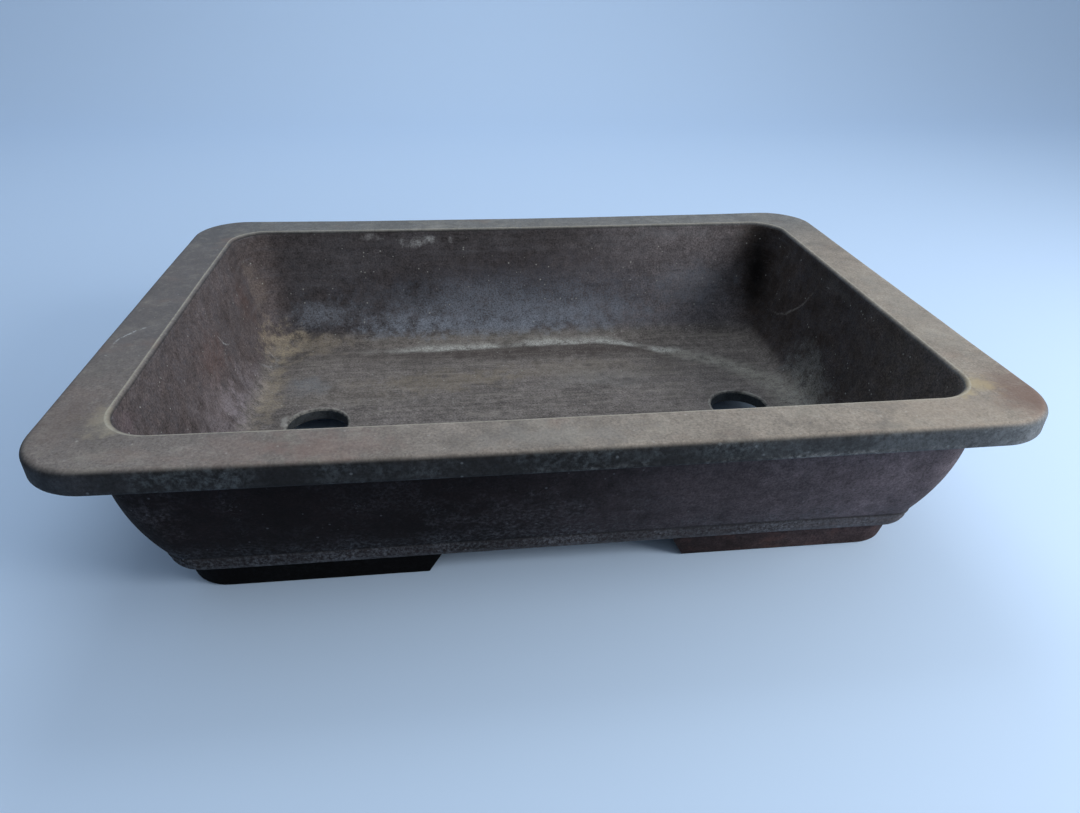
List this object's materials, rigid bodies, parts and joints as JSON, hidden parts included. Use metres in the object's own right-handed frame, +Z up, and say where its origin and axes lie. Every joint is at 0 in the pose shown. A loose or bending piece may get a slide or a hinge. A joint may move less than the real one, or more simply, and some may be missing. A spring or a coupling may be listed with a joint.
{
  "type": "bonsai pot",
  "caption": "Shallow rectangular unglazed stoneware bonsai pot with a broad flat rim, convex walls, a base band, corner feet and drain holes.",
  "frame": {"origin": "on the ground, under the middle of the pot", "axes": "+X along the length, +Y from the front side to the back side, +Z up"},
  "size_m": [0.45, 0.314, 0.1],
  "materials": {
    "floor": "matte unglazed stoneware with mineral deposits",
    "wall": "matte unglazed stoneware, dark plum brown with bluish bloom inside",
    "rim": "matte unglazed stoneware, worn taupe on top and slate on its edge",
    "base_band": "matte unglazed stoneware, greyed",
    "foot": "matte unglazed stoneware, dark red brown"
  },
  "bodies": {
    "root": {"floor_slab": "floor", "wall_front": "wall", "wall_back": "wall", "wall_left": "wall", "wall_right": "wall", "rim_front": "rim", "rim_back": "rim", "rim_left": "rim", "rim_right": "rim", "base_band_front": "base_band", "base_band_back": "base_band", "base_band_left": "base_band", "base_band_right": "base_band", "foot_front_left": "foot", "foot_front_right": "foot", "foot_back_left": "foot", "foot_back_right": "foot"}
  },
  "joints": []
}
